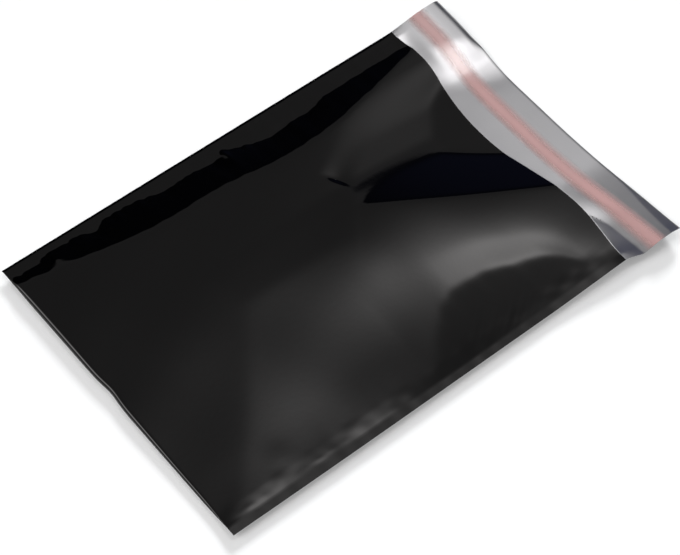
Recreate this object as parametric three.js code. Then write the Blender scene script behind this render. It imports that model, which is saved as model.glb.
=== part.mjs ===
// Peel-and-seal gift bag of metallised film, lying on its back with its flap open.
//
// One web of film is folded at the bottom and welded along both sides. The back wall runs on past the mouth
// as a flap, and the flap's silver face carries a strip of adhesive under a pink release liner.
// X runs across the bag, Y from the bottom fold to the flap's free edge, and Z up from the table.
// All sizes are in millimetres.

import * as THREE from "three";
import { mergeGeometries, mergeVertices } from "three/addons/utils/BufferGeometryUtils.js";

const { clamp, lerp, smoothstep } = THREE.MathUtils;

// Cut sizes of the film
const BAG_WIDTH = 230; // over both side welds
const POCKET_DEPTH = 300; // from the bottom fold to the lip of the front wall
const FLAP_LENGTH = 40; // from the lip line to the flap's free edge
const FILM = 0.08; // thickness of the film
const WELD_WIDTH = 6; // flat margin along each side where the walls are welded together

// Closing strip on the flap
const STRIP_SETBACK = 19; // from the flap's free edge to the middle of the strip
const ADHESIVE_WIDTH = 8;
const ADHESIVE_THICKNESS = 0.06;
const LINER_WIDTH = 15;
const LINER_THICKNESS = 0.06;
const STRIP_GAP = 0.05; // clearance between the layers of the strip

// How the back wall lies: flat on the table, with its edges and the flap's corners lifted
const EDGE_LIFT = 4; // height of the side welds
const EDGE_RUN = 30; // width over which the wall comes down from a weld to the table
const FOLD_LIFT = 0.4; // height of the wall at the bottom fold
const FOLD_RUN = 25; // length over which it comes down from the fold
const FAR_DIP = 1.6; // the far weld comes down by this much towards the lip
const FAR_DIP_FROM = -60; // from this distance before the lip
const CORNER_LIFT = 3.5; // how much higher than the welds the flap's corners stand
const NEAR_CLIMB = [-68, 22]; // the near weld climbs to its corner between these distances from the lip
const FLAP_BLEND = 14; // distance on either side of the lip line over which the wall turns into the flap
const FAR_BEND = 77; // the flap's far end is bent up in an S whose middle is this far from the bag's middle
const FAR_BEND_RUN = 24; // half the width of that bend
const NEAR_RUN = 70; // width over which the flap comes down from its near side
const FLAP_RISE = 3.2; // how far the flap rises to its free edge
const FLAP_RISE_ALONG = [-10, 50]; // distances from the lip line between which it rises
const FLAP_RISE_ACROSS = [-72, -30]; // it fades in between these lines across the bag
const EDGE_CURL = 1.2; // how far the flap's free edge curls down towards its corners
const EDGE_CURL_RUN = 4.5;
const CURL_FAR = [66, 80]; // distances from the bag's middle between which the curl sets in
const CURL_NEAR = [40, 110];

// How the front wall stands over it: a level top with a steep far side, a gentle near side and a slope up
// from the bottom fold. Slopes are rise over run.
const TOP_HEIGHT = 9.7;
const FAR_MARGIN = 4; // width of the level margin beside the far weld
const FAR_MARGIN_MOUTH = 10; // and in the mouth's half
const FAR_MARGIN_CHANGE = [130, 190]; // it widens between these distances from the bottom fold
const FAR_STEP = 0.3; // how much higher than the weld the margin lies
const FAR_SLOPE = 0.21;
const FAR_ROUND = 1.2; // rounding of the bend at the margin's edge
const FAR_STRAY_REACH = 22; // distance over which the strays below die out
// How far the foot of the far slope strays where the weld gathers the film: [along, stray]
const FAR_STRAYS = [
  [0, -1], [20, -1], [29, -6], [38, -3], [50, -4], [60, 2], [68, -4], [91, -3], [110, 4], [130, 3],
  [146, 5], [157, -5], [170, -2], [187, 10], [203, 2], [217, 4], [231, -1], [300, -1],
];
const BOTTOM_FAR = 5.8; // height over the bottom fold on the far side
const BOTTOM_FAR_X = -60; // up to here
const BOTTOM_NEAR = 3.7; // and on the near side
const BOTTOM_NEAR_X = 110; // from here
const BOTTOM_SLOPE = 0.045;
const CREST_X = -17; // line where the top turns into the near side
const CREST_SHOULDER = 13; // from that line to the near side's slope
const CREST_ROUND = 5; // rounding of the turn
const NEAR_SLOPE = 0.052;
const NEAR_ROUND = 0.5; // rounding where the near side meets the level of its weld
const NEAR_ROUND_MOUTH = 1.2; // and where the hump does
const CREASE = 0.35; // rounding of the creases between the sides
const EDGE_CLOSE = 10; // width over which the walls part beside a weld
const SIDE_PULL = 1; // how far the filled-out sides draw in at mid length
const LIP_PULL_FAR = 0.4; // and how far they draw in at the lip, on the far side
const LIP_PULL_NEAR = 1.9; // and on the near side
const LIP_SKEW = 1.6; // how far the lip line runs askew at each weld
const LIP_PULL_REACH = 18; // length of the pocket that this pull reaches into
const LIP_PULL_END = 12; // and length of the flap

// The mouth: on the far side the wall is pressed down on to the back wall, with a soft ridge in it.
// On the near side it stands open in a hump. The crest between them slants towards the near side.
const MOUTH_REACH = 104; // from the lip to where the crest starts to slant
const MOUTH_EARLY = 42; // the near side starts to change into the hump this far before that
const MOUTH_LATE = 8; // and has changed this far behind it
const CREST_SLANT = 0.6; // run across the bag for each unit towards the lip
const CREST_BEND = 4; // rounding where the slant starts
const MOUTH_FALL = 0.127; // fall of the pressed-down wall towards the lip
const MOUTH_SLANT = 0.71; // how far the line where it starts runs on for each unit towards the far weld
const MOUTH_ROUND = 2; // rounding of that line beside the crest
const MOUTH_LEAD = 2; // how far before the slant it starts there
const MOUTH_ROUND_FAR = 14; // and away from the crest
const MOUTH_LEAD_FAR = 10;
const MOUTH_FAR = [2, 20]; // distances from the crest between which these change
const VALLEY_SLOPE = 0.115; // fall from the crest into the pressed-down wall, where the slant starts
const VALLEY_SLOPE_LIP = 0.22; // and at the lip
const VALLEY_ROUND = 0.3;
const CREST_EDGE = 1.2; // rounding of the crest beside the valley
const FOOT_X = 60; // line where the hump's near flank ends
const FOOT_LAG = 36; // the foot starts to slant this far behind the crest
const FOOT_BEND = 10;
const HUMP_FALL = 0.068; // fall of the hump from crest to foot, over its width
const HUMP_FALL_LIP = 0.045; // and at the lip
const HUMP_FLATTER = [55, 100]; // it changes between these distances from the slant's start
const HUMP_POWER = 1.6; // shape of the fall: the larger, the later
const FLANK_START = 0.7; // share of the width where the steeper flank starts
const FLANK_FALL = 0.06; // how much steeper it is
const FLANK_ROUND = 0.04;
const FLANK_RISE = [10, 30]; // the flank sets in and ends between these distances from the slant's start
const FLANK_END = [62, 86];
const LIP_DRAW = 5; // how far the pressed-down lip draws back into the bag
const LIP_DRAW_X = -22;
const LIP_DRAW_WIDTH = 42;
const LIP_BULGE = 3; // how far it bulges out beside the far weld
const LIP_BULGE_X = -80;
const LIP_BULGE_WIDTH = 24;
const LIP_FREE_MARGIN = 14; // distance from a weld over which the lip comes free to do so
const LEAST_GAP = 0.4; // clearance between the walls where the lip lies down
const LEAST_GAP_ROUND = 0.5;

// Gentle waves of the slack film, and puckers that the welds gather into the front wall
const WAVE_HEIGHT = 0.14;
const WAVE_PITCH_ACROSS = 145;
const WAVE_PITCH_ALONG = 160;
const WAVE_MARGIN = 40; // the waves fade out within this distance of a weld
const PUCKER_HEIGHT = 0.1;
const PUCKER_PITCH = 31;
const PUCKER_INSET = 5; // from the weld line to the middle of the puckers
const PUCKER_REACH = 4.5;
// Soft bumps of the front wall: middle and half sizes as [across, along], and height
const DENTS = [
  { middle: [103, 107], half: [15, 13], rise: 0.6 },
  { middle: [20, 186], half: [32, 24], rise: 0.8 },
];

// Fineness of the facets
const POCKET_COLUMNS = 28;
const POCKET_ROWS = 34;
const FOLD_STEPS = 4;
const EDGE_BIAS = 0.5; // 0 spaces the columns evenly, 1 crowds them towards the welds

const HALF_WIDTH = BAG_WIDTH / 2;
const WELD_LINE = HALF_WIDTH - WELD_WIDTH;
const LENGTH = POCKET_DEPTH + FLAP_LENGTH;
const STRIP_MIDDLE = LENGTH - STRIP_SETBACK;
const MOUTH_START = POCKET_DEPTH - MOUTH_REACH;

// Rises from 0 to 1 with a slope that dies out evenly.
function ease(t) {
  return 1 - (1 - clamp(t, 0, 1)) ** 2;
}

// Falls from 1 to 0 with a slope that dies out evenly.
function fall(t) {
  return 1 - ease(t);
}

function bell(t) {
  return Math.exp(-t * t);
}

// The larger of two heights, with a rounded change-over.
function softMax(a, b, blend) {
  return (a + b + Math.hypot(a - b, blend)) / 2;
}

// The smaller of two heights, with a rounded change-over.
function softMin(a, b, blend) {
  return (a + b - Math.hypot(a - b, blend)) / 2;
}

// Nothing below 0 and t above it, with a rounded bend.
function hinge(t, blend) {
  return softMax(t, 0, blend);
}

// Distance inwards from the nearer weld line.
function inset(x) {
  return Math.max(WELD_LINE - Math.abs(x), 0);
}

// Height of the far weld and of the flap's far end.
function farSideHeight(along) {
  const beyondLip = along - POCKET_DEPTH;
  const dipped = EDGE_LIFT - FAR_DIP * smoothstep(beyondLip, FAR_DIP_FROM, 0);
  return dipped + (CORNER_LIFT + FAR_DIP) * smoothstep(beyondLip, 0, FLAP_LENGTH);
}

// Height of the near weld and of the flap's near end.
function nearSideHeight(along) {
  return EDGE_LIFT + CORNER_LIFT * smoothstep(along - POCKET_DEPTH, ...NEAR_CLIMB);
}

// Height of the flap: bent up in an S on the far side, and rising evenly to its free edge and near side.
function flapHeight(x, along) {
  const far = farSideHeight(along) * smoothstep(-x, FAR_BEND - FAR_BEND_RUN, FAR_BEND + FAR_BEND_RUN);
  const near = nearSideHeight(along) * fall((HALF_WIDTH - x) / NEAR_RUN);
  const risen = smoothstep(along - POCKET_DEPTH, ...FLAP_RISE_ALONG) * smoothstep(x, ...FLAP_RISE_ACROSS);
  const curl = Math.max(along - LENGTH + EDGE_CURL_RUN, 0) / EDGE_CURL_RUN;
  const curled = smoothstep(-x, ...CURL_FAR) + smoothstep(x, ...CURL_NEAR);
  return far + Math.hypot(near, FLAP_RISE * risen) - EDGE_CURL * curled * curl ** 2;
}

// Height of the lower face of the back wall and flap.
function backHeight(x, along) {
  const side = fall(inset(x) / EDGE_RUN);
  const end = FOLD_LIFT * fall(along / FOLD_RUN);
  const lift = x < 0 ? farSideHeight(along) : nearSideHeight(along);
  const wall = lift * side + end * (1 - side);
  const onFlap = smoothstep(along, POCKET_DEPTH - FLAP_BLEND, POCKET_DEPTH + FLAP_BLEND);
  return lerp(wall, flapHeight(x, along), onFlap);
}

// Height of the front wall's outside where the welds hold it.
function weldHeight(side, along) {
  return backHeight(side * WELD_LINE, along) + 2 * FILM;
}

// Value at a place between two neighbours in a list of [place, value].
function between(list, place) {
  const next = Math.max(list.findIndex(([at]) => at >= place), 1);
  const [from, first] = list[next - 1];
  const [to, second] = list[next];
  return lerp(first, second, (place - from) / (to - from));
}

// An uneven wave between -1 and 1.
function wander(along, pitch) {
  const turn = (2 * Math.PI * along) / pitch;
  return 0.6 * Math.sin(turn + 1.3 * Math.sin(0.31 * turn)) + 0.4 * Math.sin(1.73 * turn + 0.9);
}

// The top and near side of the front wall, changing into the hump and the pressed-down wall at the mouth.
function topHeight(x, along) {
  const towardsLip = along - MOUTH_START;
  const crest = CREST_X + CREST_SLANT * hinge(towardsLip, CREST_BEND);
  const foot = FOOT_X + CREST_SLANT * hinge(towardsLip - FOOT_LAG, FOOT_BEND);
  const beyondCrest = x - crest;
  const plainDrop = NEAR_SLOPE * hinge(beyondCrest - CREST_SHOULDER, CREST_ROUND);
  const share = Math.max(beyondCrest, 0) / (foot - crest);
  const flankShare = smoothstep(towardsLip, ...FLANK_RISE) * (1 - smoothstep(towardsLip, ...FLANK_END));
  const flank = FLANK_FALL * hinge(share - FLANK_START, FLANK_ROUND) * flankShare;
  const humpFall = lerp(HUMP_FALL, HUMP_FALL_LIP, smoothstep(towardsLip, ...HUMP_FLATTER));
  const humpDrop = (foot - crest) * (humpFall * share ** HUMP_POWER + flank);
  const atMouth = smoothstep(towardsLip, -MOUTH_EARLY, MOUTH_LATE);
  const nearTop = TOP_HEIGHT - lerp(plainDrop, humpDrop, atMouth);
  const near = softMax(nearTop, weldHeight(1, along), lerp(NEAR_ROUND, NEAR_ROUND_MOUTH, atMouth));
  const valleySlope = lerp(VALLEY_SLOPE, VALLEY_SLOPE_LIP, clamp(towardsLip / MOUTH_REACH, 0, 1));
  const hump = near - valleySlope * hinge(-beyondCrest, CREST_EDGE);
  const away = smoothstep(CREST_X - x, ...MOUTH_FAR);
  const lead = lerp(MOUTH_LEAD, MOUTH_LEAD_FAR, away);
  const pressedRun = towardsLip + lead - MOUTH_SLANT * (CREST_X - x);
  const pressed = MOUTH_FALL * hinge(pressedRun, lerp(MOUTH_ROUND, MOUTH_ROUND_FAR, away));
  return softMax(near - pressed, hump, VALLEY_ROUND * atMouth);
}

// The far side of the front wall: a level margin, then a steep slope whose foot strays with the gathers.
function farHeight(x, along) {
  const margin = lerp(FAR_MARGIN, FAR_MARGIN_MOUTH, smoothstep(along, ...FAR_MARGIN_CHANGE));
  const beyondMargin = x + WELD_LINE - margin;
  const stray = between(FAR_STRAYS, along) * fall(beyondMargin / FAR_STRAY_REACH);
  return weldHeight(-1, along) + FAR_STEP + FAR_SLOPE * hinge(beyondMargin - stray, FAR_ROUND);
}

// The slope that climbs from the bottom fold.
function bottomHeight(x, along) {
  const across = smoothstep(x, BOTTOM_FAR_X, BOTTOM_NEAR_X);
  return lerp(BOTTOM_FAR, BOTTOM_NEAR, across) + BOTTOM_SLOPE * along;
}

function slackWave(x, along) {
  const across = (2 * Math.PI * x) / WAVE_PITCH_ACROSS;
  const down = (2 * Math.PI * along) / WAVE_PITCH_ALONG;
  const wave = Math.sin(2 * across + down) + Math.sin(across - 2 * down);
  return (WAVE_HEIGHT / 2) * wave * smoothstep(inset(x), 0, WAVE_MARGIN);
}

function pucker(x, along) {
  const wave = wander(along + Math.sign(x) * PUCKER_PITCH, PUCKER_PITCH);
  return PUCKER_HEIGHT * wave * bell((inset(x) - PUCKER_INSET) / PUCKER_REACH);
}

function dents(x, along) {
  let height = 0;
  for (const { middle, half, rise } of DENTS) {
    height += rise * bell(Math.hypot((x - middle[0]) / half[0], (along - middle[1]) / half[1]));
  }
  return height;
}

// Clear height between the two walls. It is nothing at the welds.
function pocketGap(x, along) {
  const floor = backHeight(x, along) + 2 * FILM;
  const parted = ease(inset(x) / EDGE_CLOSE);
  const top = softMin(topHeight(x, along), bottomHeight(x, along), CREASE);
  const shape = softMin(top, farHeight(x, along), CREASE) + slackWave(x, along);
  const loose = pucker(x, along) + dents(x, along);
  const height = lerp(weldHeight(Math.sign(x), along), shape, parted) + loose * parted;
  return softMax(height - floor, LEAST_GAP * parted, LEAST_GAP_ROUND * parted);
}

// Half the height of the rounded bottom fold, over the film's outside.
function foldRadius(x) {
  return pocketGap(x, 0) / 2 + FILM;
}

// Share of the lip's pull at a distance along the bag. There is none under the strip.
function atLip(along) {
  const beyondLip = along - POCKET_DEPTH;
  return bell(Math.min(beyondLip, 0) / LIP_PULL_REACH) * (1 - smoothstep(beyondLip, 0, LIP_PULL_END));
}

// Place on the table of a point of the film, with the sides drawn in where the pocket fills out.
function planX(x, along) {
  const filled = SIDE_PULL * Math.sin(Math.PI * clamp(along / POCKET_DEPTH, 0, 1));
  const lipPull = x < 0 ? LIP_PULL_FAR : LIP_PULL_NEAR;
  const drawn = filled + lipPull * atLip(along);
  return x * (1 - drawn / HALF_WIDTH);
}

function planY(x, along) {
  const skew = ((LIP_SKEW * x) / HALF_WIDTH) * atLip(along);
  return along - skew + foldRadius(x) * clamp(1 - along / POCKET_DEPTH, 0, 1);
}

// A point of the back wall or flap, raised above its lower face.
function backPoint(x, along, raised) {
  return [planX(x, along), planY(x, along), backHeight(x, along) + raised];
}

// A point of the front wall, with the lip drawn back where it lies down and bulging out beside that.
function frontPoint(x, along, sunk) {
  const bulge = LIP_BULGE * bell((x - LIP_BULGE_X) / LIP_BULGE_WIDTH);
  const draw = LIP_DRAW * bell((x - LIP_DRAW_X) / LIP_DRAW_WIDTH) - bulge;
  const free = clamp(inset(x) / LIP_FREE_MARGIN, 0, 1) * (along / POCKET_DEPTH) ** 4;
  const height = backHeight(x, along) + 2 * FILM + pocketGap(x, along);
  return [planX(x, along), planY(x, along) - draw * free, height - sunk];
}

// A point round the bottom fold, from the front wall (turn 0) to the back wall (turn pi).
function foldPoint(x, turn, sunk) {
  const outer = foldRadius(x);
  const radius = outer - sunk;
  const middle = backHeight(x, 0) + outer;
  return [planX(x, 0), outer - radius * Math.sin(turn), middle + radius * Math.cos(turn)];
}

// Stations from one value to another, evenly spaced or crowded towards both ends.
function stations(from, to, steps, bias) {
  return Array.from({ length: steps + 1 }, (_, i) => {
    const even = i / steps;
    const crowded = (1 - Math.cos(Math.PI * even)) / 2;
    return lerp(from, to, lerp(even, crowded, bias));
  });
}

// A gridded face through pointAt(u, v). It faces along u x v, or the other way when turned.
function face(columns, rows, pointAt, turned = false) {
  const grid = new THREE.PlaneGeometry(1, 1, columns.length - 1, rows.length - 1);
  grid.deleteAttribute("normal");
  grid.deleteAttribute("uv");
  [...rows].reverse().forEach((v, row) => {
    columns.forEach((u, column) => {
      grid.attributes.position.setXYZ(row * columns.length + column, ...pointAt(u, v));
    });
  });
  const corners = grid.index.array;
  for (let i = 0; turned && i < corners.length; i += 3) {
    [corners[i], corners[i + 1]] = [corners[i + 1], corners[i]];
  }
  return grid;
}

// Joins faces that meet along their edges into one closed surface.
function closedSurface(faces) {
  const joined = mergeVertices(mergeGeometries(faces), 1e-4);
  const corners = joined.index.array;
  const kept = [];
  for (let i = 0; i < corners.length; i += 3) {
    const [a, b, c] = corners.slice(i, i + 3);
    if (a !== b && b !== c && c !== a) kept.push(a, b, c);
  }
  joined.setIndex(kept);
  joined.computeVertexNormals();
  return joined;
}

// Columns across the bag, and rows along the pocket and the flap
const innerColumns = stations(-WELD_LINE, WELD_LINE, POCKET_COLUMNS, EDGE_BIAS);
const allColumns = [-HALF_WIDTH, ...innerColumns, HALF_WIDTH];
const pocketRows = stations(0, POCKET_DEPTH, POCKET_ROWS, 0);
const foldTurns = stations(0, Math.PI, FOLD_STEPS, 0);
const adhesiveRows = [-ADHESIVE_WIDTH / 2, 0, ADHESIVE_WIDTH / 2].map((v) => STRIP_MIDDLE + v);
const linerRows = [STRIP_MIDDLE - LINER_WIDTH / 2, ...adhesiveRows, STRIP_MIDDLE + LINER_WIDTH / 2];
const flapRows = [
  POCKET_DEPTH,
  (POCKET_DEPTH + linerRows[0]) / 2,
  ...linerRows,
  LENGTH - EDGE_CURL_RUN,
  LENGTH - EDGE_CURL_RUN / 2,
  LENGTH,
];

// The whole web of film as one closed surface: both faces of both walls, the fold, and the cut edges.
function bagFilm() {
  const faces = [
    face(allColumns, pocketRows, (x, v) => frontPoint(x, v, 0)),
    face(innerColumns, pocketRows, (x, v) => frontPoint(x, v, FILM), true),
    face(innerColumns, pocketRows, (x, v) => backPoint(x, v, FILM)),
    face(allColumns, flapRows, (x, v) => backPoint(x, v, FILM)),
    face(allColumns, [...pocketRows, ...flapRows.slice(1)], (x, v) => backPoint(x, v, 0), true),
    face(allColumns, foldTurns, (x, turn) => foldPoint(x, turn, 0), true),
    face(innerColumns, foldTurns, (x, turn) => foldPoint(x, turn, FILM)),
    face(innerColumns, [0, FILM], (x, sunk) => frontPoint(x, POCKET_DEPTH, sunk)),
    face(allColumns, [0, FILM], (x, raised) => backPoint(x, LENGTH, raised), true),
  ];
  for (const side of [-1, 1]) {
    const margin = [side * WELD_LINE, side * HALF_WIDTH];
    const edge = side * HALF_WIDTH;
    const leftHand = side < 0;
    faces.push(
      face(margin, [FILM, 2 * FILM], (x, raised) => backPoint(x, POCKET_DEPTH, raised), !leftHand),
      face(pocketRows, [0, FILM, 2 * FILM], (v, raised) => backPoint(edge, v, raised), leftHand),
      face(flapRows, [0, FILM], (v, raised) => backPoint(edge, v, raised), leftHand),
      face(foldTurns, [0, FILM], (turn, sunk) => foldPoint(edge, turn, sunk), leftHand),
    );
  }
  return closedSurface(faces);
}

// A thin strip lying along the flap, raised above the flap's upper face.
function flapStrip(rows, raised, thickness) {
  const low = FILM + raised;
  const high = low + thickness;
  const ends = [rows[0], rows.at(-1)];
  const sides = [-HALF_WIDTH, HALF_WIDTH];
  return closedSurface([
    face(allColumns, rows, (x, v) => backPoint(x, v, high)),
    face(allColumns, rows, (x, v) => backPoint(x, v, low), true),
    ...ends.map((v, i) => face(allColumns, [low, high], (x, h) => backPoint(x, v, h), i === 1)),
    ...sides.map((x, i) => face(rows, [low, high], (v, h) => backPoint(x, v, h), i === 0)),
  ]);
}

function piece(name, geometry, color, roughness, metalness) {
  const material = new THREE.MeshStandardMaterial({ color, roughness, metalness });
  const mesh = new THREE.Mesh(geometry, material);
  mesh.name = name;
  return mesh;
}

const linerRaise = STRIP_GAP + ADHESIVE_THICKNESS + STRIP_GAP;
const bag = new THREE.Group();
bag.add(
  piece("bag_film", bagFilm(), 0x0b0b0d, 0.12, 0.3),
  piece("adhesive_strip", flapStrip(adhesiveRows, STRIP_GAP, ADHESIVE_THICKNESS), 0xb98a88, 0.35, 0),
  piece("release_liner", flapStrip(linerRows, linerRaise, LINER_THICKNESS), 0xd58f90, 0.25, 0),
);
bag.position.y = -LENGTH / 2;

export default bag;
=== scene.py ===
"""Looks of a peel-and-seal gift bag: glossy black film, silver inside, a pink liner on its open flap."""

from math import cos, pi, radians, sin

import bpy
import numpy as np
from mathutils import Matrix, Vector


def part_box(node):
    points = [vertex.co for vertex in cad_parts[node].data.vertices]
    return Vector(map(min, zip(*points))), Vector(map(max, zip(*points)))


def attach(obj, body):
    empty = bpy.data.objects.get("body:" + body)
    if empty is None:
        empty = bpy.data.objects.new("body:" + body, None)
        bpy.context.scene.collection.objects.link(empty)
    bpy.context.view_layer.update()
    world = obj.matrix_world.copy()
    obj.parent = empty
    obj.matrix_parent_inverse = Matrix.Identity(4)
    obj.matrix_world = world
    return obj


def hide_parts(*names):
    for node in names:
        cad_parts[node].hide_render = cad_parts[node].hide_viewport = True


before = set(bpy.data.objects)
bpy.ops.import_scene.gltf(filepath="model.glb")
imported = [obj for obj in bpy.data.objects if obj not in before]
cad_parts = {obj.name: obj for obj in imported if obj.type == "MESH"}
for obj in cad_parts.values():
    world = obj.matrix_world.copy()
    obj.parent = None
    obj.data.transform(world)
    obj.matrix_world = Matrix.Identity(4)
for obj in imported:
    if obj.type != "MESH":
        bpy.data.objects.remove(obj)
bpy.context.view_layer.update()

MM = 0.001  # the form below is in millimetres, the scene in metres

# Cut sizes of the film, from the parts in model.glb
bag_low, bag_high = (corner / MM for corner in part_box("bag_film"))
liner_low, liner_high = (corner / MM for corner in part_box("release_liner"))
adhesive_low, adhesive_high = (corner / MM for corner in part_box("adhesive_strip"))
BAG_WIDTH = bag_high.x - bag_low.x
LENGTH = bag_high.y - bag_low.y
LINER_WIDTH = liner_high.y - liner_low.y
ADHESIVE_WIDTH = adhesive_high.y - adhesive_low.y
STRIP_MIDDLE = (liner_low.y + liner_high.y) / 2 - bag_low.y
FLAP_LENGTH = 40
POCKET_DEPTH = LENGTH - FLAP_LENGTH
FILM = 0.08
WELD_WIDTH = 6
ADHESIVE_THICKNESS = 0.06
LINER_THICKNESS = 0.06
STRIP_GAP = 0.05

# How the back wall lies
EDGE_LIFT = 4
EDGE_RUN = 30
FOLD_LIFT = 0.4
FOLD_RUN = 25
FAR_DIP = 0.3  # the far weld comes down towards the lip, and the near one climbs
FAR_DIP_FROM = -60
FAR_CLIMB = (-4, 32)  # a pair is where a change starts and ends: along from the lip
CORNER_LIFT = 3.5
NEAR_CLIMB = (-68, 22)
MARGIN_DROOP = 0.2
FLAP_BLEND = 14
FAR_BEND = (40, 82)  # or across from the middle
FAR_BEND_SLANT = 14
FAR_BEND_SHARE = 0.5
FAR_RAMP = (60, 115)
NEAR_RUN = 75
NEAR_POWER = 1.4
NEAR_GAIN = 0.06
NEAR_GAIN_ALONG = (5, 33)
FLAP_RISE = 0.6
FLAP_RISE_ALONG = (-10, 50)
FLAP_RISE_ACROSS = (-72, -30)
EDGE_TURN = 0.2  # slope of the turned-down rim along the flap's free edge
EDGE_TURN_WIDTH = 1
FAR_TURN = 0.26  # slope of the turned-down rim along the far weld
FAR_TURN_WIDTH = 1.8
EDGE_CURL = 1.5
EDGE_CURL_RUN = 5
CURL_FAR = (66, 80)
NEAR_TURN = 0.22  # the near corner's free edge is turned down along a crease
NEAR_TURN_WIDTH = 7
NEAR_TURN_ACROSS = (45, 112)
DITCH_SLOPE = 0.2  # shallow ditch between the lip and the strip at the near end
DITCH_WIDTH = 11
DITCH_RETURN = 12
DITCH_ACROSS = (50, 88)
FLAP_BOW = 2.6  # the flap's middle is drawn in a little, and the strip on it a little more
FLAP_BOW_FAR = (-100, -28)
FLAP_BOW_NEAR = (8, 92)
FLAP_BOW_ALONG = (0, 18)
STRIP_BOW = 1.5

# How the front wall stands over it
TOP_HEIGHT = 9.7
FAR_STEP = 0.3
FAR_SLOPE = 0.21
FAR_ROUND = 0.9
FAR_MARGIN = 4
FAR_MARGIN_MOUTH = 10
FAR_MARGIN_CHANGE = (130, 190)  # along from the bottom fold
FAR_STRAY_REACH = 22
# How far the foot of the far slope strays where the weld gathers the film: (along, stray)
FAR_STRAYS = [
    (0, -1), (20, -1), (29, -6), (38, -3), (50, -4), (60, 2), (68, -4), (91, -3), (110, 4),
    (130, 3), (146, 5), (157, -3), (170, 1), (187, 7), (203, 3), (217, 4), (231, -1), (300, -1),
]
BOTTOM_FAR = 5.8
BOTTOM_FAR_X = -60
BOTTOM_NEAR = 3.7
BOTTOM_NEAR_X = 110
BOTTOM_SLOPE = 0.045
CREST_X = -17
CREST_SHOULDER = 13
CREST_ROUND = 5
NEAR_SLOPE = 0.052
NEAR_ROUND = 0.5
NEAR_ROUND_MOUTH = 0.4
CREASE = 0.35
EDGE_CLOSE = 10
NEAR_PULL = 2.7  # the near weld is drawn inwards at the lip
NEAR_PULL_REACH = 180
NEAR_PULL_POWER = 3
LIP_SKEW = 1.6  # and the lip lies a little askew
LIP_SKEW_REACH = 18
LIP_PULL_END = 12

# The mouth
MOUTH_REACH = 104  # how far before the lip the mouth's form starts
MOUTH_EARLY = 42
MOUTH_LATE = 8
CREST_SLANT = 0.6
CREST_BEND = 4
CREST_BEND_NEAR = 24
MOUTH_FALL = 0.127
MOUTH_SLANT = 0.71
MOUTH_ROUND = 2  # beside the crest
MOUTH_LEAD = 2
MOUTH_ROUND_FAR = 14  # and away from it
MOUTH_LEAD_FAR = 10
MOUTH_FAR = (2, 20)  # across from the crest
MOUTH_EASE = 0.38  # share that the far weld holds up again
MOUTH_EASE_ACROSS = (52, 84)
VALLEY_SLOPE = 0.115
VALLEY_SLOPE_LIP = 0.22
VALLEY_ROUND = 0.3
CREST_EDGE = 1.2
FOOT_X = 60
FOOT_LAG = 36
FOOT_BEND = 10
HUMP_FALL = 0.068
HUMP_FALL_LIP = 0.045
HUMP_FLATTER = (55, 100)  # along from that start
HUMP_POWER = 1.6
FLANK_START = 0.7
FLANK_FALL = 0.06
FLANK_ROUND = 0.1
FLANK_REACH = (-25, 38, 62, 86)  # along from that start: begins, full, wanes, ends
LIP_DRAW = 5
LIP_DRAW_X = -22
LIP_DRAW_WIDTH = 42
LIP_DRAW_POWER = 4
# Bulges of the lip: middle across, half width, and how far it stands out
LIP_BULGES = [(-80, 24, 3), (68, 24, 3)]
LIP_FREE_MARGIN = 14
LEAST_GAP = 0.4
LEAST_GAP_ROUND = 0.5

# An uneven wave is a swinging wave and a quicker one: shares, swing, paces and start
SWING_SHARE = 0.6
SWING = 1.3
SWING_PACE = 0.31
QUICK_SHARE = 0.4
QUICK_PACE = 1.73
QUICK_START = 0.9

# Waves of the slack film and puckers beside the welds
WAVE_HEIGHT = 0.14
WAVE_PITCH_ACROSS = 145
WAVE_PITCH_ALONG = 160
WAVE_MARGIN = 40
PUCKER_HEIGHT = 0.1
PUCKER_PITCH = 31
PUCKER_INSET = 5
PUCKER_REACH = 4.5

# Finer crinkles that only a close look shows
GATHER_HEIGHT = 0.1  # short ridges that run in from the far weld
GATHER_PITCH = 11
GATHER_REACH = 6
GATHER_SLANT = 0.35
GATHER_GROUP_PITCH = 55
GATHER_GROUP_SHIFT = 23
GATHER_GROUP_RISE = (-0.5, 0.6)
TOOTH_SIZE = 1.2  # jagged foot of the far slope
TOOTH_PITCH = 19
TOOTH_REACH = 8
TOOTH_END = (200, 250)  # along from the bottom fold
BEAD_HEIGHT = 0.13  # uneven step down to the near weld, in groups (middle along, half length)
BEAD_GROUPS = [(20, 12), (72, 14)]
BEAD_WIDTH = 3.5
BEAD_FADE = 9
BEAD_PITCH = 17
BEAD_REACH = 4
BEAD_SLANT = 0.6
BEAD_LEVEL = 0.6
BEAD_RIPPLE = 0.6
NEAR_GATHER_HEIGHT = 0.05  # short ridges that run in from the near weld by the mouth
NEAR_GATHER_GROUPS = [(207, 28)]
NEAR_GATHER_PITCH = 13
NEAR_GATHER_REACH = 9
NEAR_GATHER_SLANT = 1.2
MARK_HEIGHT = 0.1  # crimped spots of the far weld, in groups (middle along, half length)
MARK_GROUPS = [(191, 14), (270, 9)]
MARK_PITCH = 5
MARK_WIDTH = 2.5
MARK_SLANT = 0.6
WELD_WAVE = 0.06  # waviness of the welds themselves
WELD_WAVE_PITCH = 21
WELD_WAVE_REACH = 5
WELD_WAVE_SHIFT = 9  # so that the two welds differ
# Single creases of the front wall: start (x, along), end (x, along), half width, step, and run behind it
CREASES = [((-51, 190), (-31, 203), 2.2, -0.85, 14)]
# Dents and bumps of the front wall: middle (x, along), half sizes across and along, height
DENTS = [
    ((106, 110), (27, 18), 0.34),
    ((20, 186), (32, 24), 0.8),
    ((92, 50), (10, 9), 0.18),
    ((70, 172), (36, 40), -1.5),
    ((106, 28), (20, 20), 0.32),
]

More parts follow.
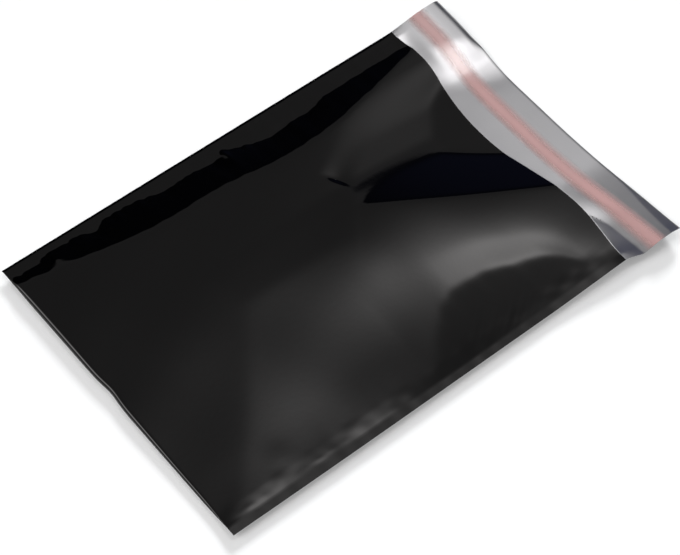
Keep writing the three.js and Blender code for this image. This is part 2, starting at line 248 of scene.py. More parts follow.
# Pinch of the bottom fold
PINCH = 1.2
PINCH_X = -5
PINCH_WIDTH = 10
PINCH_REACH = 9

# Fineness of the mesh
FAR_ZONE = 26  # widths beside the welds with closer columns
NEAR_ZONE = 18
FAR_COLUMNS = 28
MIDDLE_COLUMNS = 74
NEAR_COLUMNS = 22
POCKET_ROWS = 248
BACK_ROW_STEP = 4  # the smooth back wall has one row for so many of the front wall's
FLAP_ROWS = 40
WELD_COLUMNS = 4
EDGE_STEPS = 2
FOLD_STEPS = 10
STRIP_ROWS = 8
CUT_EDGE = 0.3  # width of the bright cut edge along the lip
JOIN_DIGITS = 4  # points that agree to so many decimals are one
SHARP_ANGLE = 50

# Films
NOISE_SPAN = (0.3, 0.7)  # range that holds most of a noise
BLACK = (0.0004, 0.0004, 0.0005, 1)
BLACK_SPECULAR = 0.3
BLACK_ROUGHNESS = (0.03, 0.07)
BLACK_ROUGHNESS_SCALE = 60
BLACK_GRAIN = 0.006 * MM
BLACK_GRAIN_SCALE = 300
SILVER = (0.525, 0.53, 0.545, 1)
SILVER_ROUGHNESS = (0.30, 0.36)
SILVER_ROUGHNESS_SCALE = 90
SILVER_STRETCH = (1, 0.3, 1)  # the satin runs along the web
SILVER_GRAIN = 0.004 * MM
SILVER_GRAIN_SCALE = 160
ADHESIVE_TINT = (0.62, 0.33, 0.32, 1)
ADHESIVE_ROUGHNESS = (0.3, 0.38)
ADHESIVE_ALPHA = (0.0, 0.4)  # at the edges and in the middle
ADHESIVE_FEATHER = 4
LINER_TINT = (0.66, 0.40, 0.39, 1)
LINER_ROUGHNESS = (0.08, 0.16)
LINER_ALPHA = (0.04, 0.62)
LINER_FEATHER = 7
TINT_ROUGHNESS_SCALE = 120
TINT_COAT_ROUGHNESS = 0.08
TINT_COAT_IOR = 1.8

# Studio: directions are azimuth and elevation in degrees
FLOOR = (0.705, 0.722, 0.73, 1)
FLOOR_REACH = 60  # metres
FLOOR_DROP = 0.2 * MM
FLOOR_GLOW = 0.26
SKY = (0.8, 0.78, 0.775, 1)
CEILING = 0.4
CEILING_EDGE = (10, 24)  # elevations over which the ceiling begins
CEILING_EDGE_FAR = (40, 42.5)  # and on the far side, where the film mirrors it as a sharp border
FAR_SIDE = (0.35, 0.55)  # share of a direction that points away from the camera
WALL = 0.9
WALL_TOP = (4, 9)
# Soft lights of the sky: azimuth, elevation, width, strength
HOT_SPOT = (212, 73, 6, 7.3)
SECOND_SPOT = (197, 56, 8, 1.15)
SIDE_PANEL = (-34, 40, 10, 8.0)
BLUE_SIDE = (222, 24, 10, 0.12)
BLUE = (0.4, 0.46, 1, 1)
KEY_AIM = (225, 20)
KEY_SPREAD = 12
KEY_ENERGY = 4.0

# Camera
VIEW_AZIMUTH = 50.896
VIEW_ELEVATION = 55.402
VIEW_ROLL = 0.683
VIEW_DISTANCE = 1567.04 * MM
VIEW_TARGET = Vector((12.29, 157.99 - LENGTH / 2, 0)) * MM
FOCAL_PIXELS = 2608
IMAGE_WIDTH = 680  # pixels
SENSOR = 36

HALF_WIDTH = BAG_WIDTH / 2
WELD_LINE = HALF_WIDTH - WELD_WIDTH
MOUTH_START = POCKET_DEPTH - MOUTH_REACH


# Small curves
def lerp(a, b, t):
    """Goes evenly from a to b as t goes from 0 to 1."""
    return a + (b - a) * t


def smoothstep(x, low, high):
    """Rises from 0 at low to 1 at high, level at both ends."""
    t = np.clip((x - low) / (high - low), 0, 1)
    return t * t * (3 - 2 * t)


def ease(t):
    """Rises from 0 to 1 with a slope that dies out evenly."""
    return 1 - (1 - np.clip(t, 0, 1)) ** 2


def fall(t):
    """Falls from 1 to 0 with a slope that dies out evenly."""
    return 1 - ease(t)


def bell(t):
    """Bell curve: 1 in the middle, dying out on both sides."""
    return np.exp(-t * t)


def soft_max(a, b, blend):
    """The larger of two heights, with a rounded change-over."""
    return (a + b + np.hypot(a - b, blend)) / 2


def soft_min(a, b, blend):
    """The smaller of two heights, with a rounded change-over."""
    return (a + b - np.hypot(a - b, blend)) / 2


def hinge(t, blend):
    """Nothing below 0 and t above it, with a rounded bend."""
    return soft_max(t, 0, blend)


def wander(along, pitch):
    """An uneven wave between -1 and 1."""
    turn = 2 * pi * along / pitch
    swinging = SWING_SHARE * np.sin(turn + SWING * np.sin(SWING_PACE * turn))
    return swinging + QUICK_SHARE * np.sin(QUICK_PACE * turn + QUICK_START)


def inset(x):
    """Distance inwards from the nearer weld line."""
    return np.maximum(WELD_LINE - np.abs(x), 0)


def in_groups(along, groups):
    """Near 1 within the groups (middle, half length) and 0 away from them."""
    return sum(bell((along - middle) / half_length) for middle, half_length in groups)


# Heights of the film over the table
def weld_marks(x, along):
    """Small crimps of the far weld."""
    ripple = wander(along + MARK_SLANT * x, MARK_PITCH) * in_groups(along, MARK_GROUPS)
    return MARK_HEIGHT * ripple * bell((x + HALF_WIDTH - WELD_WIDTH / 2) / MARK_WIDTH)


def far_side_height(along):
    """Height of the far weld and of the flap's far end."""
    beyond_lip = along - POCKET_DEPTH
    dipped = EDGE_LIFT - FAR_DIP * smoothstep(beyond_lip, FAR_DIP_FROM, 0)
    return dipped + (CORNER_LIFT + FAR_DIP) * smoothstep(beyond_lip, *FAR_CLIMB)


def near_side_height(along):
    """Height of the near weld and of the flap's near end."""
    return EDGE_LIFT + CORNER_LIFT * smoothstep(along - POCKET_DEPTH, *NEAR_CLIMB)


def flap_height(x, along):
    """The flap: bent up in an S on the far side, and rising evenly to its free edge and near side."""
    ramp = np.clip((-x - FAR_RAMP[0]) / (FAR_RAMP[1] - FAR_RAMP[0]), 0, 1)
    slanted = -x - FAR_BEND_SLANT * (1 - (along - POCKET_DEPTH) / FLAP_LENGTH)
    far = far_side_height(along) * lerp(ramp, smoothstep(slanted, *FAR_BEND), FAR_BEND_SHARE)
    near = near_side_height(along) * np.clip(1 - (HALF_WIDTH - x) / NEAR_RUN, 0, 1) ** NEAR_POWER
    near = near * (1 + NEAR_GAIN * smoothstep(along - POCKET_DEPTH, *NEAR_GAIN_ALONG))
    rise = FLAP_RISE * smoothstep(along - POCKET_DEPTH, *FLAP_RISE_ALONG) * smoothstep(x, *FLAP_RISE_ACROSS)
    curl = np.maximum(along - LENGTH + EDGE_CURL_RUN, 0) / EDGE_CURL_RUN
    curled = EDGE_CURL * smoothstep(-x, *CURL_FAR) * curl**2
    turn_width = NEAR_TURN_WIDTH * smoothstep(x, *NEAR_TURN_ACROSS)
    turned = NEAR_TURN * np.maximum(along - LENGTH + turn_width, 0)
    beyond_lip = np.maximum(along - POCKET_DEPTH, 0)
    ditch_width = DITCH_WIDTH * smoothstep(x, *DITCH_ACROSS)
    back_up = np.clip((beyond_lip - ditch_width) / DITCH_RETURN, 0, 1)
    ditch = DITCH_SLOPE * (np.minimum(beyond_lip, ditch_width) - ditch_width * back_up)
    edge = EDGE_TURN * np.maximum(along - LENGTH + EDGE_TURN_WIDTH, 0)
    return far + np.hypot(near, rise) - curled - turned - ditch - edge


def back_height(x, along):
    """Lower face of the back wall and flap."""
    side = fall(inset(x) / EDGE_RUN)
    end = FOLD_LIFT * fall(along / FOLD_RUN)
    wave = WELD_WAVE * wander(along + WELD_WAVE_SHIFT * np.sign(x), WELD_WAVE_PITCH)
    ripple = wave + weld_marks(x, along)
    droop = MARGIN_DROOP * np.maximum(x - WELD_LINE, 0) / WELD_WIDTH
    droop = droop + FAR_TURN * np.maximum(FAR_TURN_WIDTH - HALF_WIDTH - x, 0)
    lift = np.where(x < 0, far_side_height(along), near_side_height(along)) - droop
    wall = lift * side + end * (1 - side) + ripple * bell(inset(x) / WELD_WAVE_REACH)
    on_flap = smoothstep(along, POCKET_DEPTH - FLAP_BLEND, POCKET_DEPTH + FLAP_BLEND)
    return lerp(wall, flap_height(x, along), on_flap)


def weld_height(side, along):
    """Front wall's outside where the weld on that side (-1 or 1) holds it."""
    return back_height(side * WELD_LINE, along) + 2 * FILM


def top_height(x, along):
    """Top and near side of the front wall, changing into the hump and the pressed-down wall at the mouth."""
    towards_lip = along - MOUTH_START
    crest = CREST_X + CREST_SLANT * hinge(towards_lip, CREST_BEND)
    foot = FOOT_X + CREST_SLANT * hinge(towards_lip - FOOT_LAG, FOOT_BEND)
    beyond_crest = x - crest
    near_crest = CREST_X + CREST_SLANT * hinge(towards_lip, CREST_BEND_NEAR)
    plain_drop = NEAR_SLOPE * hinge(x - near_crest - CREST_SHOULDER, CREST_ROUND)
    share = np.maximum(x - near_crest, 0) / (foot - near_crest)
    start, full, wane, stop = FLANK_REACH
    flank = FLANK_FALL * hinge(share - FLANK_START, FLANK_ROUND)
    flank = flank * smoothstep(towards_lip, start, full) * (1 - smoothstep(towards_lip, wane, stop))
    hump_fall = lerp(HUMP_FALL, HUMP_FALL_LIP, smoothstep(towards_lip, *HUMP_FLATTER))
    hump_drop = (foot - near_crest) * (hump_fall * share**HUMP_POWER + flank)
    at_mouth = smoothstep(towards_lip, -MOUTH_EARLY, MOUTH_LATE)
    near_top = TOP_HEIGHT - lerp(plain_drop, hump_drop, at_mouth)
    near = soft_max(near_top, weld_height(1, along), lerp(NEAR_ROUND, NEAR_ROUND_MOUTH, at_mouth))
    valley_slope = lerp(VALLEY_SLOPE, VALLEY_SLOPE_LIP, np.clip(towards_lip / MOUTH_REACH, 0, 1))
    hump = near - valley_slope * hinge(-beyond_crest, CREST_EDGE)
    away = smoothstep(CREST_X - x, *MOUTH_FAR)
    lead = lerp(MOUTH_LEAD, MOUTH_LEAD_FAR, away)
    pressed_run = towards_lip + lead - MOUTH_SLANT * (CREST_X - x)
    pressed = MOUTH_FALL * hinge(pressed_run, lerp(MOUTH_ROUND, MOUTH_ROUND_FAR, away))
    pressed = pressed * (1 - MOUTH_EASE * smoothstep(-x, *MOUTH_EASE_ACROSS))
    return soft_max(near - pressed, hump, VALLEY_ROUND * at_mouth)


def far_height(x, along):
    """Far side of the front wall: a level margin, then a steep slope whose foot strays with the gathers."""
    margin = lerp(FAR_MARGIN, FAR_MARGIN_MOUTH, smoothstep(along, *FAR_MARGIN_CHANGE))
    beyond_margin = x + WELD_LINE - margin
    stray = np.interp(along, *np.transpose(FAR_STRAYS)) * fall(beyond_margin / FAR_STRAY_REACH)
    teeth = TOOTH_SIZE * (1 - 2 * np.abs(wander(along, TOOTH_PITCH))) * fall(beyond_margin / TOOTH_REACH)
    teeth = teeth * (1 - smoothstep(along, *TOOTH_END))
    return weld_height(-1, along) + FAR_STEP + FAR_SLOPE * hinge(beyond_margin - stray - teeth, FAR_ROUND)


def bottom_height(x, along):
    """The slope that climbs from the bottom fold."""
    across = smoothstep(x, BOTTOM_FAR_X, BOTTOM_NEAR_X)
    return lerp(BOTTOM_FAR, BOTTOM_NEAR, across) + BOTTOM_SLOPE * along


def slack_wave(x, along):
    """Broad low waves of the slack film."""
    across = 2 * pi * x / WAVE_PITCH_ACROSS
    down = 2 * pi * along / WAVE_PITCH_ALONG
    wave = np.sin(2 * across + down) + np.sin(across - 2 * down)
    return WAVE_HEIGHT / 2 * wave * smoothstep(inset(x), 0, WAVE_MARGIN)


def pucker(x, along):
    """Long uneven puckers beside both welds."""
    wave = wander(along + np.sign(x) * PUCKER_PITCH, PUCKER_PITCH)
    return PUCKER_HEIGHT * wave * bell((inset(x) - PUCKER_INSET) / PUCKER_REACH)


def gather(x, along):
    """Short ridges that the far weld draws into the film, in uneven groups."""
    group = smoothstep(wander(along + GATHER_GROUP_SHIFT, GATHER_GROUP_PITCH), *GATHER_GROUP_RISE)
    wave = wander(along + GATHER_SLANT * inset(x), GATHER_PITCH)
    return GATHER_HEIGHT * group * wave * np.exp(-inset(x) / GATHER_REACH) * (x < 0)


def bead(x, along):
    """Uneven step down to the near weld."""
    wave = wander(along + BEAD_SLANT * inset(x), BEAD_PITCH)
    ripple = BEAD_LEVEL + BEAD_RIPPLE * wave * np.exp(-inset(x) / BEAD_REACH)
    fade = np.exp(-np.maximum(inset(x) - BEAD_WIDTH, 0) / BEAD_FADE)
    rise = smoothstep(inset(x), 0, BEAD_WIDTH) * fade
    return BEAD_HEIGHT * in_groups(along, BEAD_GROUPS) * ripple * rise * (x > 0)


def near_gather(x, along):
    """Short slanting ridges that the near weld draws into the film by the mouth."""
    wave = wander(along - NEAR_GATHER_SLANT * inset(x), NEAR_GATHER_PITCH)
    wave = wave * in_groups(along, NEAR_GATHER_GROUPS)
    return NEAR_GATHER_HEIGHT * wave * np.exp(-inset(x) / NEAR_GATHER_REACH) * (x > 0)


def single_creases(x, along):
    """Steps of the film along single creases, each easing out behind its line."""
    height = 0 * x
    for start, end, half_width, step, run in CREASES:
        length = np.hypot(end[0] - start[0], end[1] - start[1])
        ux, uy = (end[0] - start[0]) / length, (end[1] - start[1]) / length
        lengthwise = ((x - start[0]) * ux + (along - start[1]) * uy) / length
        behind = (along - start[1]) * ux - (x - start[0]) * uy
        share = np.sin(pi * np.clip(lengthwise, 0, 1)) ** 2
        rise = smoothstep(behind, -half_width, half_width)
        fade = np.exp(-np.maximum(behind, 0) / run)
        height = height + step * share * rise * fade
    return height


def dents(x, along):
    """Shallow dents and bumps."""
    height = 0 * x
    for middle, half, rise in DENTS:
        away = np.hypot((x - middle[0]) / half[0], (along - middle[1]) / half[1])
        height = height + rise * bell(away)
    return height


def pocket_gap(x, along):
    """Clear height between the two walls. It is nothing at the welds."""
    floor = back_height(x, along) + 2 * FILM
    parted = ease(inset(x) / EDGE_CLOSE)
    top = soft_min(top_height(x, along), bottom_height(x, along), CREASE)
    shape = soft_min(top, far_height(x, along), CREASE) + slack_wave(x, along)
    height = lerp(weld_height(np.sign(x), along), shape, parted) + pucker(x, along) * parted
    fine = gather(x, along) + near_gather(x, along) + single_creases(x, along) + dents(x, along)
    height = height + fine * parted + bead(x, along)
    gap = soft_max(height - floor, LEAST_GAP * parted, LEAST_GAP_ROUND * parted)
    return np.where(inset(x) > 0, gap, 0)


def fold_radius(x):
    """Half the height of the rounded bottom fold, over the film's outside."""
    return pocket_gap(x, 0.0 * x) / 2 + FILM


# Points of the film, measured from the middle of the bottom fold
def at_lip(along, reach):
    """Share of the lip's pull at a distance along the bag. There is none under the strip."""
    beyond_lip = along - POCKET_DEPTH
    return bell(np.minimum(beyond_lip, 0) / reach) * (1 - smoothstep(beyond_lip, 0, LIP_PULL_END))


def plan_x(x, along):
    """Place across the bag. The lip draws the near weld inwards."""
    share = (np.maximum(x, 0) / HALF_WIDTH) ** NEAR_PULL_POWER
    return x - NEAR_PULL * at_lip(along, NEAR_PULL_REACH) * share


def bowed(x):
    """Share of the flap's bow at a place across it."""
    return smoothstep(x, *FLAP_BOW_FAR) * (1 - smoothstep(x, *FLAP_BOW_NEAR))


def pinch(x, along):
    """How far the bottom fold is pinched inwards."""
    return PINCH * bell((x - PINCH_X) / PINCH_WIDTH) * np.exp(-along / PINCH_REACH)


def plan_y(x, along):
    """Place along the bag, with the skewed lip, the bowed flap, the rounded fold and its pinch."""
    skew = LIP_SKEW * x / HALF_WIDTH * at_lip(along, LIP_SKEW_REACH)
    bow = FLAP_BOW * bowed(x) * smoothstep(along - POCKET_DEPTH, *FLAP_BOW_ALONG)
    rounded = fold_radius(x) * np.clip(1 - along / POCKET_DEPTH, 0, 1)
    return along - skew - bow + rounded + pinch(x, along)


def back_point(x, along, raised):
    """Point of the back wall or flap, raised above its lower face."""
    return plan_x(x, along), plan_y(x, along), back_height(x, along) + raised


def front_point(x, along, sunk):
    """Point of the front wall, sunk below its outside. The lip is drawn back in waves."""
    bulge = sum(out * bell((x - middle) / half_width) for middle, half_width, out in LIP_BULGES)
    draw = LIP_DRAW * bell((x - LIP_DRAW_X) / LIP_DRAW_WIDTH) - bulge
    free = np.clip(inset(x) / LIP_FREE_MARGIN, 0, 1) * (along / POCKET_DEPTH) ** LIP_DRAW_POWER
    height = back_height(x, along) + 2 * FILM + pocket_gap(x, along)
    return plan_x(x, along), plan_y(x, along) - draw * free, height - sunk


def fold_point(x, turn, sunk):
    """Point of the bottom fold, turned from the front wall (0) round to the back wall (half a turn)."""
    outer = fold_radius(x)
    radius = outer - sunk
    middle = back_height(x, 0 * x) + outer
    y = outer - radius * np.sin(turn) + pinch(x, 0 * x)
    return plan_x(x, 0 * x), y, middle + radius * np.cos(turn)


# Meshes
def link_object(name, data):
    """Puts an object into the scene."""
    made = bpy.data.objects.new(name, data)
    bpy.context.collection.objects.link(made)
    return made


def stations(low, high, steps):
    """Even places from low to high, both ends included."""
    return np.linspace(low, high, steps + 1)


def face(columns, rows, point_at, material=0, turned=False):
    """A gridded face through point_at(u, v). It faces along u x v, or the other way when turned."""
    u, v = np.meshgrid(np.asarray(columns, float), np.asarray(rows, float))
    points = np.stack([c + 0 * u for c in point_at(u, v)], axis=-1).reshape(-1, 3)
    across = len(columns)
    i, j = np.meshgrid(np.arange(across - 1), np.arange(len(rows) - 1))
    first = (j * across + i).ravel()
    quads = np.stack([first, first + 1, first + across + 1, first + across], axis=1)
    if turned:
        quads = quads[:, ::-1]
    return points, quads.tolist(), material


def stitched(wide_line, close_line, material, turned=False, end_line=None):
    """A strip from a line with the back wall's rows to one with the front wall's closer rows."""
    wide = np.stack(wide_line(back_rows), axis=-1)
    close = np.stack(close_line(pocket_rows), axis=-1)
    points = [wide, close]
    if end_line:
        points.append(np.stack(end_line(pocket_rows[[0, -1]]), axis=-1))
    first_close = len(wide)
    first_end = first_close + len(close)
    polygons = []
    for k, (start, stop) in enumerate(zip(back_picks[:-1], back_picks[1:])):
        polygon = [k, k + 1]
        if end_line and stop == back_picks[-1]:
            polygon.append(first_end + 1)
        polygon += [first_close + pick for pick in range(stop, start - 1, -1)]
        if end_line and start == 0:
            polygon.append(first_end)
        polygons.append(polygon[::-1] if turned else polygon)
    return np.concatenate(points), polygons, material


def closed_piece(name, faces, materials):
    """Joins faces that meet along their edges into one closed piece."""
    points = np.concatenate([face_points for face_points, _, _ in faces])
    rounded = np.round(points, JOIN_DIGITS)
    _, first, where = np.unique(rounded, axis=0, return_index=True, return_inverse=True)
    joined = where.reshape(-1).tolist()
    polygons = []
    kinds = []
    start = 0
    for face_points, face_polygons, kind in faces:
        for polygon in face_polygons:
            ring = [joined[start + c] for c in polygon]
            corners = [c for k, c in enumerate(ring) if c != ring[k - 1]]
            if len(set(corners)) >= 3:
                polygons.append(corners)
                kinds.append(kind)
        start += len(face_points)
    placed = points[first] + np.array([0, bag_low.y, 0])
    mesh = bpy.data.meshes.new(name)
    mesh.from_pydata((placed * MM).tolist(), [], polygons)
    for material in materials:
        mesh.materials.append(material)
    mesh.polygons.foreach_set("material_index", kinds)
    mesh.polygons.foreach_set("use_smooth", [True] * len(polygons))
    mesh.update()
    mesh.set_sharp_from_angle(angle=radians(SHARP_ANGLE))
    return link_object(name, mesh)


inner_columns = np.concatenate([
    stations(-WELD_LINE, FAR_ZONE - WELD_LINE, FAR_COLUMNS)[:-1],
    stations(FAR_ZONE - WELD_LINE, WELD_LINE - NEAR_ZONE, MIDDLE_COLUMNS)[:-1],
    stations(WELD_LINE - NEAR_ZONE, WELD_LINE, NEAR_COLUMNS),
])
far_margin = np.concatenate([
    stations(-HALF_WIDTH, FAR_TURN_WIDTH - HALF_WIDTH, EDGE_STEPS)[:-1],
    stations(FAR_TURN_WIDTH - HALF_WIDTH, -WELD_LINE, WELD_COLUMNS),
])
near_margin = stations(WELD_LINE, HALF_WIDTH, WELD_COLUMNS)
all_columns = np.concatenate([far_margin[:-1], inner_columns, near_margin[1:]])
pocket_rows = np.append(stations(0, POCKET_DEPTH - CUT_EDGE, POCKET_ROWS), POCKET_DEPTH)
back_picks = [*range(0, POCKET_ROWS + 1, BACK_ROW_STEP), POCKET_ROWS + 1]
back_rows = pocket_rows[back_picks]
flap_rows = np.concatenate([
    stations(POCKET_DEPTH, LENGTH - EDGE_TURN_WIDTH, FLAP_ROWS)[:-1],
    stations(LENGTH - EDGE_TURN_WIDTH, LENGTH, EDGE_STEPS),
])
fold_turns = stations(0, pi, FOLD_STEPS)
OUTSIDE, INSIDE = 0, 1


def bag_film(outside, inside):
    """The whole web of film: both faces of both walls, the fold, and the cut edges."""
    lip_rows = pocket_rows[-2:]
    web_rows = np.concatenate([back_rows, flap_rows[1:]])
    rim = [0, FILM]
    faces = [
        face(all_columns, pocket_rows[:-1], lambda x, along: front_point(x, along, 0), OUTSIDE),
        face(all_columns, lip_rows, lambda x, along: front_point(x, along, 0), INSIDE),
        face(inner_columns, pocket_rows, lambda x, along: front_point(x, along, FILM), INSIDE, True),
        face(inner_columns[1:-1], back_rows, lambda x, along: back_point(x, along, FILM), INSIDE),
        face(all_columns, flap_rows, lambda x, along: back_point(x, along, FILM), INSIDE),
        face(all_columns, web_rows, lambda x, along: back_point(x, along, 0), OUTSIDE, True),
        face(all_columns, fold_turns, lambda x, turn: fold_point(x, turn, 0), OUTSIDE, True),
        face(inner_columns, fold_turns, lambda x, turn: fold_point(x, turn, FILM), INSIDE),
        face(inner_columns, rim, lambda x, sunk: front_point(x, POCKET_DEPTH + 0 * x, sunk), INSIDE),
        face(all_columns, rim, lambda x, up: back_point(x, LENGTH + 0 * x, up), INSIDE, True),
    ]
    for side, margin, inner_line in [
        (-1, far_margin[::-1], inner_columns[1]),
        (1, near_margin, inner_columns[-2]),
    ]:
        left_hand = side < 0

        def side_point(along, up, x=side * HALF_WIDTH):
            return back_point(x + 0 * along, along, up)

        def weld_end(x, up):
            return back_point(x, POCKET_DEPTH + 0 * x, up)

        def fold_end(turn, sunk, x=side * HALF_WIDTH):
            return fold_point(x + 0 * turn, turn, sunk)

        faces += [
            face(margin, [FILM, 2 * FILM], weld_end, INSIDE, not left_hand),
            face(flap_rows, rim, side_point, OUTSIDE, left_hand),
            face(fold_turns, rim, fold_end, OUTSIDE, left_hand),
            stitched(
                lambda along: side_point(along, 0),
                lambda along: side_point(along, 2 * FILM),
                OUTSIDE,
                left_hand,
                end_line=lambda along: side_point(along, FILM),
            ),
            stitched(
                lambda along: back_point(inner_line + 0 * along, along, FILM),
                lambda along: back_point(side * WELD_LINE + 0 * along, along, FILM),
                INSIDE,
                not left_hand,
            ),
        ]
    return closed_piece("bag_film_dressed", faces, [outside, inside])


def flap_strip(name, width, raised, thickness, material):
    """A thin strip across the flap, raised above its upper face. Each point knows how far aside it lies."""
    rows = stations(-width / 2, width / 2, STRIP_ROWS)
    low = FILM + raised
    high = low + thickness

    def strip_point(x, aside, up):
        return back_point(x, STRIP_MIDDLE + aside - STRIP_BOW * bowed(x), up)

    faces = [
        face(all_columns, rows, lambda x, v: strip_point(x, v, high)),
        face(all_columns, rows, lambda x, v: strip_point(x, v, low), turned=True),
    ]
    for aside, far_end in [(rows[0], False), (rows[-1], True)]:
        edge = face(all_columns, [low, high], lambda x, h, v=aside: strip_point(x, v, h), turned=far_end)
        faces.append(edge)
    for end, left_hand in [(-HALF_WIDTH, True), (HALF_WIDTH, False)]:
        edge = face(rows, [low, high], lambda v, h, x=end: strip_point(x + 0 * v, v, h), turned=left_hand)
        faces.append(edge)
    piece = closed_piece(name, faces, [material])
    aside = piece.data.attributes.new("aside", "FLOAT", "POINT")
    for vertex, value in zip(piece.data.vertices, aside.data):
        along = vertex.co.y / MM - bag_low.y
        bow = (STRIP_BOW + FLAP_BOW) * float(bowed(vertex.co.x / MM))
        value.value = abs(along - STRIP_MIDDLE + bow)
    return piece


# Materials
def shader_of(name):
    """A new material with its node tree and its shader."""
    material = bpy.data.materials.new(name)
    material.use_nodes = True
    return material, material.node_tree, material.node_tree.nodes["Principled BSDF"]


def add_node(tree, kind, inputs=(), **settings):
    """Adds a node. Each input is a value, or the output socket of another node."""
    node = tree.nodes.new(kind)
    for key, value in settings.items():
        setattr(node, key, value)
    for key, value in dict(inputs).items():
        if isinstance(value, bpy.types.NodeSocket):
            tree.links.new(value, node.inputs[key])
        else:
            node.inputs[key].default_value = value
    return node


def noise(tree, scale, detail=2.0, stretch=(1, 1, 1)):
    """An uneven value over the piece."""
    place = add_node(tree, "ShaderNodeTexCoord").outputs["Object"]
    stretched = add_node(tree, "ShaderNodeMapping", {"Vector": place, "Scale": stretch}).outputs[0]
    inputs = {"Vector": stretched, "Scale": scale, "Detail": detail}
    return add_node(tree, "ShaderNodeTexNoise", inputs).outputs["Fac"]


def spread(tree, value, low, high):
    """Maps a noise on to a range."""
    least, most = NOISE_SPAN
    inputs = {0: value, "From Min": least, "From Max": most, "To Min": low, "To Max": high}
    return add_node(tree, "ShaderNodeMapRange", inputs).outputs[0]


def bump(tree, shader, height, distance):
    """Fine grain of the surface."""
    node = add_node(tree, "ShaderNodeBump", {"Height": height, "Distance": distance, "Strength": 1.0})
    tree.links.new(node.outputs[0], shader.inputs["Normal"])


def black_film():
    """Smooth black film: a clear mirror gloss with faint unevenness."""
    material, tree, shader = shader_of("black_film")
    shader.inputs["Base Color"].default_value = BLACK
    shader.inputs["Specular IOR Level"].default_value = BLACK_SPECULAR
    roughness = spread(tree, noise(tree, BLACK_ROUGHNESS_SCALE), *BLACK_ROUGHNESS)
    tree.links.new(roughness, shader.inputs["Roughness"])
    bump(tree, shader, noise(tree, BLACK_GRAIN_SCALE, 1.0), BLACK_GRAIN)
    return material


def silver_film():
    """Metallised inner face: bright, with a satin grain along the web."""
    material, tree, shader = shader_of("silver_film")
    shader.inputs["Base Color"].default_value = SILVER
    shader.inputs["Metallic"].default_value = 1
    satin = noise(tree, SILVER_ROUGHNESS_SCALE, stretch=SILVER_STRETCH)
    tree.links.new(spread(tree, satin, *SILVER_ROUGHNESS), shader.inputs["Roughness"])
    bump(tree, shader, noise(tree, SILVER_GRAIN_SCALE, 1.0), SILVER_GRAIN)
    return material


def tinted_film(name, tint, roughness, width, alpha, feather):
    """See-through film across the flap, whose tint thins out over the feather width beside its edges."""
    material, tree, shader = shader_of(name)
    shader.inputs["Base Color"].default_value = tint
    shader.inputs["Specular IOR Level"].default_value = 1
    shader.inputs["Coat Weight"].default_value = 1
    shader.inputs["Coat Roughness"].default_value = TINT_COAT_ROUGHNESS
    shader.inputs["Coat IOR"].default_value = TINT_COAT_IOR
    uneven = spread(tree, noise(tree, TINT_ROUGHNESS_SCALE), *roughness)
    tree.links.new(uneven, shader.inputs["Roughness"])
    edge_alpha, core_alpha = alpha
    inputs = {
        0: add_node(tree, "ShaderNodeAttribute", attribute_name="aside").outputs["Fac"],
        "From Min": width / 2,
        "From Max": width / 2 - feather,
        "To Min": edge_alpha,
        "To Max": core_alpha,
    }
    strength = add_node(tree, "ShaderNodeMapRange", inputs, interpolation_type="SMOOTHSTEP").outputs[0]
    tree.links.new(strength, shader.inputs["Alpha"])
    return material


def floor_paper():
    """Pale matt floor that shows white to the camera and keeps the shadow."""
    material, tree, shader = shader_of("floor_paper")
    shader.inputs["Base Color"].default_value = FLOOR
    shader.inputs["Roughness"].default_value = 1
    shader.inputs["Specular IOR Level"].default_value = 0
    path = add_node(tree, "ShaderNodeLightPath")
    seen = path.outputs["Is Camera Ray"]
    for kind in ("Is Glossy Ray", "Is Transmission Ray"):
        inputs = {0: seen, 1: path.outputs[kind]}
        seen = add_node(tree, "ShaderNodeMath", inputs, operation="MAXIMUM").outputs[0]
    glow = add_node(tree, "ShaderNodeMath", {0: seen, 1: FLOOR_GLOW}, operation="MULTIPLY").outputs[0]
    shader.inputs["Emission Color"].default_value = (1, 1, 1, 1)
    tree.links.new(glow, shader.inputs["Emission Strength"])
    return material


# Floor, light and camera
def aim(azimuth, elevation):
    """Unit direction. Azimuth 0 is towards -Y and 90 towards +X, as the camera's is."""
    a, e = radians(azimuth), radians(elevation)
    return Vector((sin(a) * cos(e), -cos(a) * cos(e), sin(e)))


def make_floor():
    """A wide plain floor just under the bag."""
    mesh = bpy.data.meshes.new("floor")
    corners = [(-1, -1), (1, -1), (1, 1), (-1, 1)]
    points = [(x * FLOOR_REACH, y * FLOOR_REACH, -FLOOR_DROP) for x, y in corners]
    mesh.from_pydata(points, [], [(0, 1, 2, 3)])
    mesh.materials.append(floor_paper())
    link_object("floor", mesh)


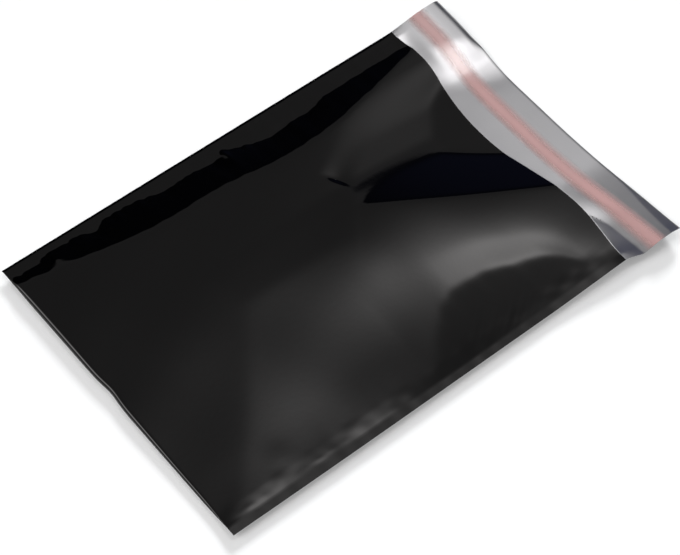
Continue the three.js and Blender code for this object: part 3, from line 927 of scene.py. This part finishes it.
def make_world():
    """A dim ceiling, a dark far side with a touch of blue, a low pale wall all round, and soft lights."""
    world = bpy.data.worlds.new("studio")
    world.use_nodes = True
    bpy.context.scene.world = world
    tree = world.node_tree
    tree.nodes.clear()
    ray = add_node(tree, "ShaderNodeTexCoord").outputs["Generated"]
    height = add_node(tree, "ShaderNodeSeparateXYZ", {0: ray}).outputs["Z"]

    def math(operation, a, b=0.0, c=0.0):
        return add_node(tree, "ShaderNodeMath", {0: a, 1: b, 2: c}, operation=operation).outputs[0]

    def towards(direction):
        inputs = {0: ray, 1: direction}
        return add_node(tree, "ShaderNodeVectorMath", inputs, operation="DOT_PRODUCT").outputs["Value"]

    def step(value, low, high):
        inputs = {0: value, "From Min": low, "From Max": high}
        return add_node(tree, "ShaderNodeMapRange", inputs, interpolation_type="SMOOTHSTEP").outputs[0]

    def above(low, high):
        return step(height, sin(radians(low)), sin(radians(high)))

    def lobe(azimuth, elevation, width, strength):
        sharpness = 1 / radians(width) ** 2
        nearness = math("MULTIPLY_ADD", towards(aim(azimuth, elevation)), sharpness, -sharpness)
        return math("MULTIPLY", math("EXPONENT", nearness), strength)

    far = step(towards(aim(VIEW_AZIMUTH + 180, 0)), *FAR_SIDE)
    far_edge = above(*CEILING_EDGE_FAR)
    low_edge = above(*CEILING_EDGE)
    edge = math("MULTIPLY_ADD", far, math("SUBTRACT", far_edge, low_edge), low_edge)
    wall = math("MULTIPLY", math("SUBTRACT", 1.0, above(*WALL_TOP)), WALL)
    light = math("MULTIPLY_ADD", edge, CEILING, wall)
    for spot in (HOT_SPOT, SECOND_SPOT, SIDE_PANEL):
        light = math("ADD", light, lobe(*spot))
    main = add_node(tree, "ShaderNodeBackground", {"Color": SKY, "Strength": light})
    blue = add_node(tree, "ShaderNodeBackground", {"Color": BLUE, "Strength": lobe(*BLUE_SIDE)})
    both = add_node(tree, "ShaderNodeAddShader", {0: main.outputs[0], 1: blue.outputs[0]})
    output = add_node(tree, "ShaderNodeOutputWorld")
    tree.links.new(both.outputs[0], output.inputs["Surface"])


def make_key():
    """Soft key light from behind. The film doesn't mirror it."""
    lamp = bpy.data.lights.new("key", "SUN")
    lamp.energy = KEY_ENERGY
    lamp.angle = radians(KEY_SPREAD)
    key = link_object("key", lamp)
    key.rotation_mode = "QUATERNION"
    key.rotation_quaternion = aim(*KEY_AIM).to_track_quat("Z", "Y")
    key.visible_glossy = False


def make_camera():
    """A slanting view from above, turned a little about its own axis."""
    back = aim(VIEW_AZIMUTH, VIEW_ELEVATION)
    level = Vector((cos(radians(VIEW_AZIMUTH)), sin(radians(VIEW_AZIMUTH)), 0))
    upward = back.cross(level)
    roll = radians(VIEW_ROLL)
    right = cos(roll) * level + sin(roll) * upward
    up = cos(roll) * upward - sin(roll) * level
    lens = bpy.data.cameras.new("camera")
    lens.sensor_fit = "HORIZONTAL"
    lens.sensor_width = SENSOR
    lens.lens = FOCAL_PIXELS / IMAGE_WIDTH * SENSOR
    lens.clip_end = 2 * FLOOR_REACH
    camera = link_object("camera", lens)
    turn = Matrix((right, up, back)).transposed().to_4x4()
    camera.matrix_world = Matrix.Translation(VIEW_TARGET + back * VIEW_DISTANCE) @ turn
    bpy.context.scene.camera = camera


# The pieces
bag = bag_film(black_film(), silver_film())
adhesive = flap_strip(
    "adhesive_strip_dressed",
    ADHESIVE_WIDTH,
    STRIP_GAP,
    ADHESIVE_THICKNESS,
    tinted_film(
        "adhesive", ADHESIVE_TINT, ADHESIVE_ROUGHNESS, ADHESIVE_WIDTH, ADHESIVE_ALPHA, ADHESIVE_FEATHER
    ),
)
liner = flap_strip(
    "release_liner_dressed",
    LINER_WIDTH,
    STRIP_GAP + ADHESIVE_THICKNESS + STRIP_GAP,
    LINER_THICKNESS,
    tinted_film("liner", LINER_TINT, LINER_ROUGHNESS, LINER_WIDTH, LINER_ALPHA, LINER_FEATHER),
)
for piece, node, slot in [
    (bag, "bag_film", "black_film"),
    (adhesive, "adhesive_strip", "adhesive"),
    (liner, "release_liner", "liner"),
]:
    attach(piece, "root")
    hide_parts(node)

make_floor()
make_world()
make_key()
make_camera()
bpy.context.scene.view_settings.view_transform = "Standard"
